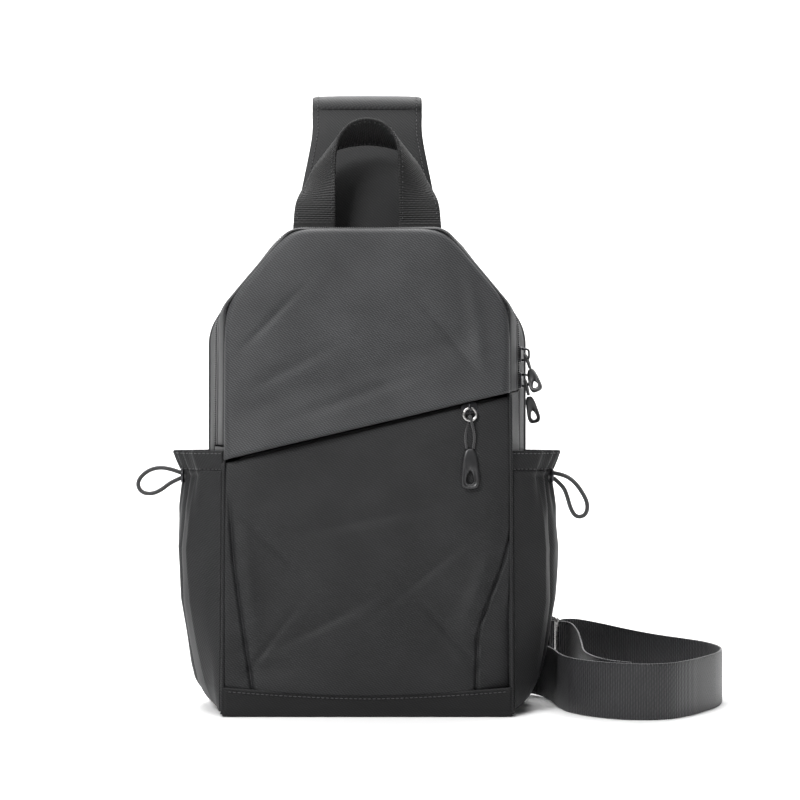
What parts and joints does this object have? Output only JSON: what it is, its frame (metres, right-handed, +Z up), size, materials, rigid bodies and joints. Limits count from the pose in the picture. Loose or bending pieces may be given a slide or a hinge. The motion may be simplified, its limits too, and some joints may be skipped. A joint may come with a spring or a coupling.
{
  "type": "sling bag",
  "caption": "Small cross-body sling bag with a slanting front flap and zip, side pockets with cord loops, a grab handle and a folded shoulder strap.",
  "frame": {"origin": "middle of the base's resting face", "axes": "+Z up, front faces -Y, wearer's side faces +Y, +X to the right of someone looking at the front"},
  "size_m": [0.4106, 0.1757, 0.44],
  "materials": {
    "coated_cloth": "charcoal twill with a matt coating",
    "lining": "plain woven lining",
    "foam": "closed-cell foam",
    "spacer_mesh": "open spacer mesh",
    "webbing": "ribbed webbing with a slight shine",
    "zip_tape": "woven zip tape",
    "zip_teeth": "coil teeth",
    "dark_metal": "black plated",
    "bright_metal": "nickel plated",
    "rubber": "moulded, satin",
    "elastic_cord": "braided",
    "board": "plain sheet"
  },
  "bodies": {
    "bag": {"front_center_panel": "coated_cloth", "front_left_panel": "coated_cloth", "front_right_panel": "coated_cloth", "front_boot": "coated_cloth", "front_pocket_lining": "lining", "front_zip_tape": "zip_tape", "front_zip_teeth": "zip_teeth", "main_zip_tape_rear": "zip_tape", "main_zip_teeth_rear": "zip_teeth", "side_gusset_left": "coated_cloth", "side_gusset_right": "coated_cloth", "main_zip_end_right": "zip_tape", "rear_gusset": "coated_cloth", "base_panel": "coated_cloth", "base_board": "board", "back_lining": "lining", "back_foam": "foam", "back_mesh": "spacer_mesh", "inner_sleeve": "lining", "pocket_left": "coated_cloth", "pocket_hem_left": "coated_cloth", "cord_eyelet_left": "dark_metal", "pocket_right": "coated_cloth", "pocket_hem_right": "coated_cloth", "cord_eyelet_right": "dark_metal", "pocket_cord_left": "elastic_cord", "pocket_cord_right": "elastic_cord", "yoke_foam": "foam", "yoke_outer": "coated_cloth", "yoke_mesh": "spacer_mesh", "adjusting_webbing": "webbing", "tri_glide": "bright_metal", "strap_end_tab": "webbing", "webbing_anchor": "webbing", "handle_foot_left": "webbing", "handle_foot_right": "webbing"},
    "front_flap": {"flap_panel": "coated_cloth", "flap_edge_roll": "coated_cloth", "flap_gusset": "coated_cloth", "main_zip_tape_front": "zip_tape", "main_zip_teeth_front": "zip_teeth"},
    "shoulder_strap": {"strap_foam": "foam", "strap_outer": "coated_cloth", "strap_mesh": "spacer_mesh"},
    "grab_handle": {"grab_handle": "webbing"},
    "front_slider": {"front_slider": "dark_metal"},
    "front_ring": {"front_ring": "bright_metal"},
    "front_pull": {"front_pull_cord": "elastic_cord", "front_pull_tab": "rubber"},
    "upper_slider": {"upper_slider": "dark_metal"},
    "upper_pull": {"upper_pull_cord": "elastic_cord", "upper_pull_tab": "rubber"},
    "lower_slider": {"lower_slider": "dark_metal"},
    "lower_pull": {"lower_pull_cord": "elastic_cord", "lower_pull_tab": "rubber"}
  },
  "joints": [
    {"name": "flap_fold", "type": "hinge", "parent": "bag", "child": "front_flap", "pos_m": [0, -0.03691, 0.19384], "axis": [0.973, 0.0161, 0.2302], "range_deg": [0, 45]},
    {"name": "strap_swing", "type": "hinge", "parent": "bag", "child": "shoulder_strap", "pos_m": [0, 0.1064, 0.424], "axis": [1, 0, 0], "range_deg": [0, 75]},
    {"name": "handle_swing", "type": "hinge", "parent": "bag", "child": "grab_handle", "pos_m": [0, 0.03, 0.337], "axis": [1, 0, 0], "range_deg": [-5, 60]},
    {"name": "front_slider_run", "type": "slide", "parent": "bag", "child": "front_slider", "axis": [-0.973, -0.0161, -0.2302], "range_m": [0, 0.146]},
    {"name": "front_ring_swing", "type": "hinge", "parent": "front_slider", "child": "front_ring", "pos_m": [0.06901, -0.0359, 0.20615], "axis": [-1, 0, 0], "range_deg": [0, 55]},
    {"name": "front_pull_swing", "type": "hinge", "parent": "front_ring", "child": "front_pull", "pos_m": [0.06901, -0.03648, 0.19777], "axis": [-1, 0, 0], "range_deg": [0, 50]},
    {"name": "upper_slider_run", "type": "slide", "parent": "bag", "child": "upper_slider", "axis": [0, 0, 1], "range_m": [0, 0.012]},
    {"name": "upper_pull_swing", "type": "hinge", "parent": "upper_slider", "child": "upper_pull", "pos_m": [0.10999, 0.00685, 0.244], "axis": [-0.2264, -0.974, 0], "range_deg": [0, 105]},
    {"name": "lower_slider_run", "type": "slide", "parent": "bag", "child": "lower_slider", "axis": [0, 0, 1], "range_m": [-0.025, 0]},
    {"name": "lower_pull_swing", "type": "hinge", "parent": "lower_slider", "child": "lower_pull", "pos_m": [0.11013, 0.00687, 0.226], "axis": [-0.2223, -0.975, 0], "range_deg": [0, 65]}
  ]
}
